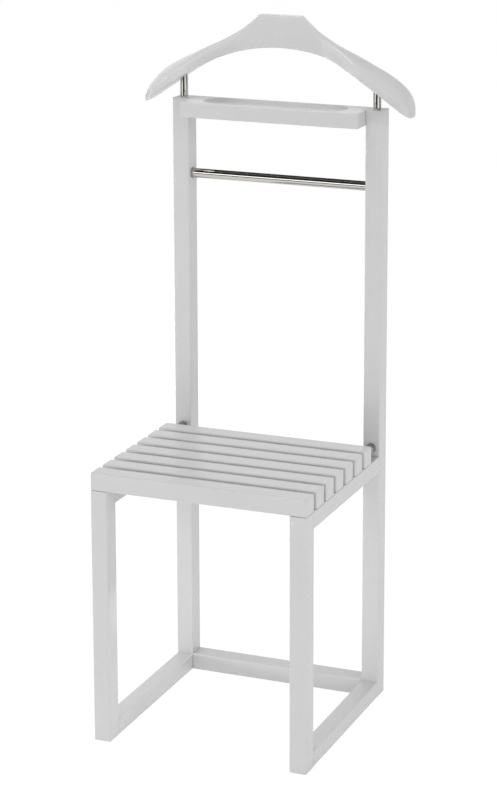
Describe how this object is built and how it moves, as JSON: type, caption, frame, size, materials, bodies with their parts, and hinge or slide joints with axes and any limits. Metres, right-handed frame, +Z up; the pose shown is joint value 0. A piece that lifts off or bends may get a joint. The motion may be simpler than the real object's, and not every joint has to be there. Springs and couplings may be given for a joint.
{
  "type": "clothes valet chair",
  "caption": "White-lacquered timber chair with a slatted seat and a tall back that carries a tray rail, a steel trouser bar and a contoured coat hanger.",
  "frame": {"origin": "on the floor, under the middle of the frame's footprint", "axes": "+Z up, -Y to the front of the seat, +X to the right as seen from the front"},
  "size_m": [0.4574, 0.36, 1.122],
  "materials": {
    "white_lacquer": "satin white lacquer over timber",
    "polished_steel": "polished",
    "zinc_steel": "zinc plated",
    "beech": "bare beech"
  },
  "bodies": {
    "root": {"rear_post_left": "white_lacquer", "rear_post_right": "white_lacquer", "front_leg_left": "white_lacquer", "front_leg_right": "white_lacquer", "floor_rail_left": "white_lacquer", "floor_rail_right": "white_lacquer", "seat_rail_left": "white_lacquer", "seat_rail_right": "white_lacquer", "rear_stretcher": "white_lacquer", "seat_slat_1": "white_lacquer", "seat_slat_2": "white_lacquer", "seat_slat_3": "white_lacquer", "seat_slat_4": "white_lacquer", "seat_slat_5": "white_lacquer", "seat_slat_6": "white_lacquer", "seat_slat_7": "white_lacquer", "tray_rail": "white_lacquer", "trouser_bar": "polished_steel", "hanger": "white_lacquer", "hanger_pin_left": "polished_steel", "hanger_pin_right": "polished_steel", "seat_sleeve_left": "polished_steel", "seat_sleeve_right": "polished_steel", "seat_bolt_left": "zinc_steel", "seat_bolt_right": "zinc_steel", "seat_bolt_inserts": "zinc_steel", "floor_rail_dowels": "beech", "seat_rail_dowels": "beech", "stretcher_dowels": "beech", "tray_dowels": "beech", "leg_top_dowels": "beech", "slat_screws": "zinc_steel"}
  },
  "joints": []
}
